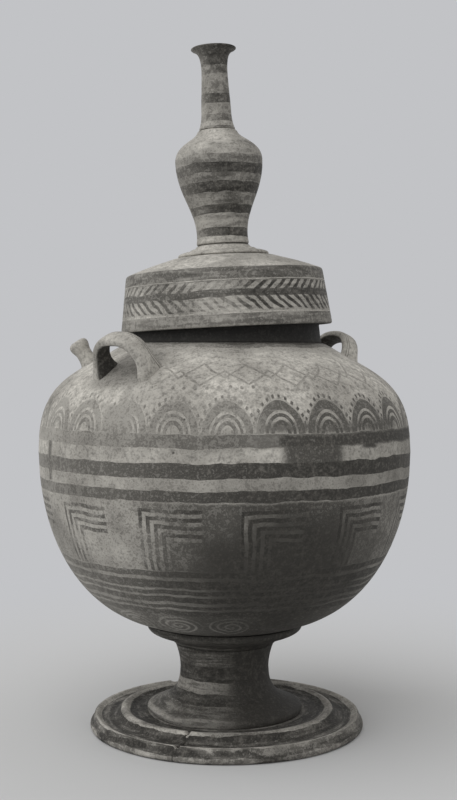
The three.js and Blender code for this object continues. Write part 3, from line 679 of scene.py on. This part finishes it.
def handmade(co):
    # slow sways of the wall and faint throwing rings
    reach = math.hypot(co.x, co.y)
    if reach < 1 * mm:
        return co
    sway = noise.noise(co / (turning["swaySize"] * mm)) * turning["sway"]
    ring = noise.noise(Vector((0, 0, co.z / (turning["ringSize"] * mm)))) * turning["ring"]
    grow = 1 + (sway + ring) * mm / reach
    return Vector((co.x * grow, co.y * grow, co.z))


def finishPiece(name, mesh, nodes, body, material):
    bmesh.ops.recalc_face_normals(mesh, faces=mesh.faces)
    for face in mesh.faces:
        face.smooth = True
    for edge in mesh.edges:
        edge.smooth = edge.calc_face_angle(0) < turning["sharp"]
    data = bpy.data.meshes.new(name)
    mesh.to_mesh(data)
    mesh.free()
    data.materials.append(material)
    piece = bpy.data.objects.new(name, data)
    bpy.context.scene.collection.objects.link(piece)
    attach(piece, body)
    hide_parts(*nodes)
    return piece


def turnedPiece(name, nodeName, body, finish, place=upright, step=1.6, sides=256, keep=(),
                shape=handmade):
    points, closed = cutOutline(nodeName, place)
    mesh = spinOutline(refineOutline(points, closed, step * mm, keep), closed, sides)
    for vertex in mesh.verts:
        vertex.co = shape(vertex.co)
    bmesh.ops.transform(mesh, matrix=place, verts=mesh.verts)
    return finishPiece(name, mesh, [nodeName], body, finishes[finish])


neck = {"base": 350.5, "height": 57.5, "step": 2, "sides": 192}


def neckPiece():
    # the section is levelled, spun, and warped again to the lean of the mouth
    slope = math.tan(-lidLean) / neck["height"] / mm
    base = neck["base"] * mm
    points, closed = cutOutline("neck_collar", upright)
    for point in points:
        point.y = (point.y + base * slope * point.x) / (1 + slope * point.x)
    mesh = spinOutline(refineOutline(points, closed, neck["step"] * mm), closed, neck["sides"])
    for vertex in mesh.verts:
        vertex.co = handmade(vertex.co)
        vertex.co.z += (vertex.co.z - base) * slope * vertex.co.x
    return finishPiece("neckCollar", mesh, ["neck_collar"], "vessel", finishes["neck"])


waist = 252.7
# azimuth, half width, depth and the radius that the damage starts at
footChips = {"crack": (-20.5, 1.3, 2.2, 86), "chip": (-157, 5.0, 2.6, 113)}


def brokenFoot(co):
    shaped = handmade(co)
    azimuth = math.degrees(math.atan2(co.x, -co.y))
    radius = math.hypot(co.x, co.y) / mm
    for centre, half, depth, start in footChips.values():
        ragged = half * (1 + 0.5 * noise.noise(co * 300))
        near = 1 - abs(azimuth - centre) / ragged
        if near > 0 and radius > start and co.z > 5 * mm:
            shaped.z -= depth * mm * min(1, near * 2) * min(1, (radius - start) / 2)
    shaped.z = max(shaped.z, 0)  # the ring under the foot stands flat
    return shaped


turnedPiece("bellyBowl", "belly_bowl", "vessel", "belly", step=2, keep=(waist,))
turnedPiece("bellyShoulder", "belly_shoulder", "vessel", "belly", step=1.8, keep=(waist,))
neckPiece()
turnedPiece("stemTrumpet", "pedestal_stem", "vessel", "stem", step=1.4, sides=192)
turnedPiece("stemCollar", "stem_collar", "vessel", "stem", step=1.4, sides=192)
turnedPiece("footPlate", "foot_plate", "vessel", "foot", footPlace, 1.1, 360, shape=brokenFoot)
turnedPiece("lidCap", "lid_cap", "lid", "lid", lidPlace, 1.6)
turnedPiece("finialCollar", "finial_collar", "lid", "finial", lidPlace, 1.2, 160)
turnedPiece("finialBody", "finial_body", "lid", "finial", lidPlace, 1.4, 160)
turnedPiece("finialNeck", "finial_neck", "lid", "finial", lidPlace, 1.2, 128)
print("turned pieces")

# Loop handles: flat straps, each bent into an arch whose feet are pressed wider
loop = {"width": 18.5, "thickness": 8.4, "halfWidth": 20.8, "height": 25.6, "squareness": 2.5, "footSpread": 1.5,
        "rootDepth": 9, "rounding": 0.7, "sides": 32, "steps": 56, "dent": 0.35, "dentSize": 14}
loopRoots = {
    "handleFrontLeft": {"node": "handle_front_left", "azimuth": -38.5, "radius": 132.5, "lean": 27},
    "handleBackRight": {"node": "handle_back_right", "azimuth": 126, "radius": 127.5, "lean": 22},
}
lug = {"azimuth": -100, "radius": 127, "lean": 34, "depth": 9, "height": 26, "cap": 9.2, "capThickness": 7.4,
       "stem": 7.5, "foot": 10.5, "sides": 64}


def shoulderHeight(radius):
    points, _ = cutOutline("belly_shoulder", upright)
    heights = []
    for a, b in zip(points, points[1:]):
        if min(a.x, b.x) <= radius * mm <= max(a.x, b.x) and a.x != b.x:
            heights.append(a.y + (b.y - a.y) * (radius * mm - a.x) / (b.x - a.x))
    return max(heights) / mm


def rootPlace(root):
    turn = math.radians(root["azimuth"])
    radius = root["radius"]
    spot = Vector((radius * math.sin(turn), -radius * math.cos(turn), shoulderHeight(radius)))
    return (Matrix.Translation(spot * mm) @ Matrix.Rotation(turn, 4, "Z")
            @ Matrix.Rotation(math.radians(root["lean"]), 4, "X"))


def flatten(value):
    return math.copysign(abs(value) ** loop["rounding"], value)


def loopPiece(name, root):
    mesh = bmesh.new()
    across = mesh.verts.layers.float.new("across")
    inner = mesh.verts.layers.float.new("inner")
    bend = 4
    bmesh.ops.create_circle(mesh, segments=loop["sides"], radius=1)
    bmesh.ops.translate(mesh, verts=mesh.verts, vec=(-bend, 0, 0))
    bmesh.ops.spin(mesh, geom=mesh.verts[:] + mesh.edges[:], cent=(0, 0, 0), axis=(0, 1, 0), angle=math.pi,
                   steps=loop["steps"])
    halfSpan = loop["halfWidth"] + loop["thickness"] / 2
    rise = loop["height"] + loop["thickness"] / 2
    power = 2 / loop["squareness"]

    def arch(angle):
        return Vector((math.copysign(abs(math.cos(angle)) ** power, math.cos(angle)) * halfSpan,
                       0, max(0, math.sin(angle)) ** power * rise))

    for vertex in mesh.verts:
        angle = min(math.pi, max(0, math.atan2(max(vertex.co.z, 0), vertex.co.x)))
        out = math.hypot(vertex.co.x, vertex.co.z) - bend
        side = vertex.co.y
        station = arch(angle)
        along = arch(min(math.pi, angle + 0.02)) - arch(max(0, angle - 0.02))
        along.normalize()
        outward = Vector((along.z, 0, -along.x))
        spread = 1 + (loop["footSpread"] - 1) * max(0, 1 - station.z / (rise / 2)) ** 2
        vertex[across] = side
        vertex[inner] = -out
        vertex.co = (station + outward * flatten(out) * loop["thickness"] / 2 * spread
                     + Vector((0, flatten(side) * loop["width"] / 2 * spread, 0))) * mm
    caps = bmesh.ops.holes_fill(mesh, edges=[e for e in mesh.edges if e.is_boundary])["faces"]
    legs = bmesh.ops.extrude_face_region(mesh, geom=caps)["geom"]
    bmesh.ops.delete(mesh, geom=caps, context="FACES_ONLY")
    bmesh.ops.translate(mesh, verts=[g for g in legs if isinstance(g, bmesh.types.BMVert)],
                        vec=(0, 0, -loop["rootDepth"] * mm))
    for vertex in mesh.verts:
        vertex.co += noise.noise_vector(vertex.co / (loop["dentSize"] * mm)) * loop["dent"] * mm
    bmesh.ops.transform(mesh, matrix=rootPlace(root), verts=mesh.verts)
    return finishPiece(name, mesh, [root["node"]], "vessel", finishes["strap"])


def lugPiece():
    rise = lug["height"] - lug["capThickness"]
    corners = [(0, -lug["depth"]), (lug["foot"], -lug["depth"]), (lug["foot"], 0),
               (lug["stem"] * 1.12, rise * 0.25), (lug["stem"], rise * 0.55), (lug["stem"], rise * 0.8),
               (lug["cap"] * 0.94, rise),
               (lug["cap"], rise + lug["capThickness"] * 0.35), (lug["cap"] * 0.97, lug["height"] - 2),
               (lug["cap"] * 0.72, lug["height"]), (0, lug["height"])]
    outline = refineOutline([Vector(c) * mm for c in corners], False, 0.9 * mm)
    mesh = spinOutline(outline, False, lug["sides"])
    for vertex in mesh.verts:
        vertex.co += noise.noise_vector(vertex.co / (9 * mm)) * 0.5 * mm
    bmesh.ops.transform(mesh, matrix=rootPlace(lug), verts=mesh.verts)
    finishPiece("shoulderLug", mesh, ["shoulder_lug"], "vessel", finishes["lug"])


for loopName, loopRoot in loopRoots.items():
    loopPiece(loopName, loopRoot)
lugPiece()
print("handles and lug")
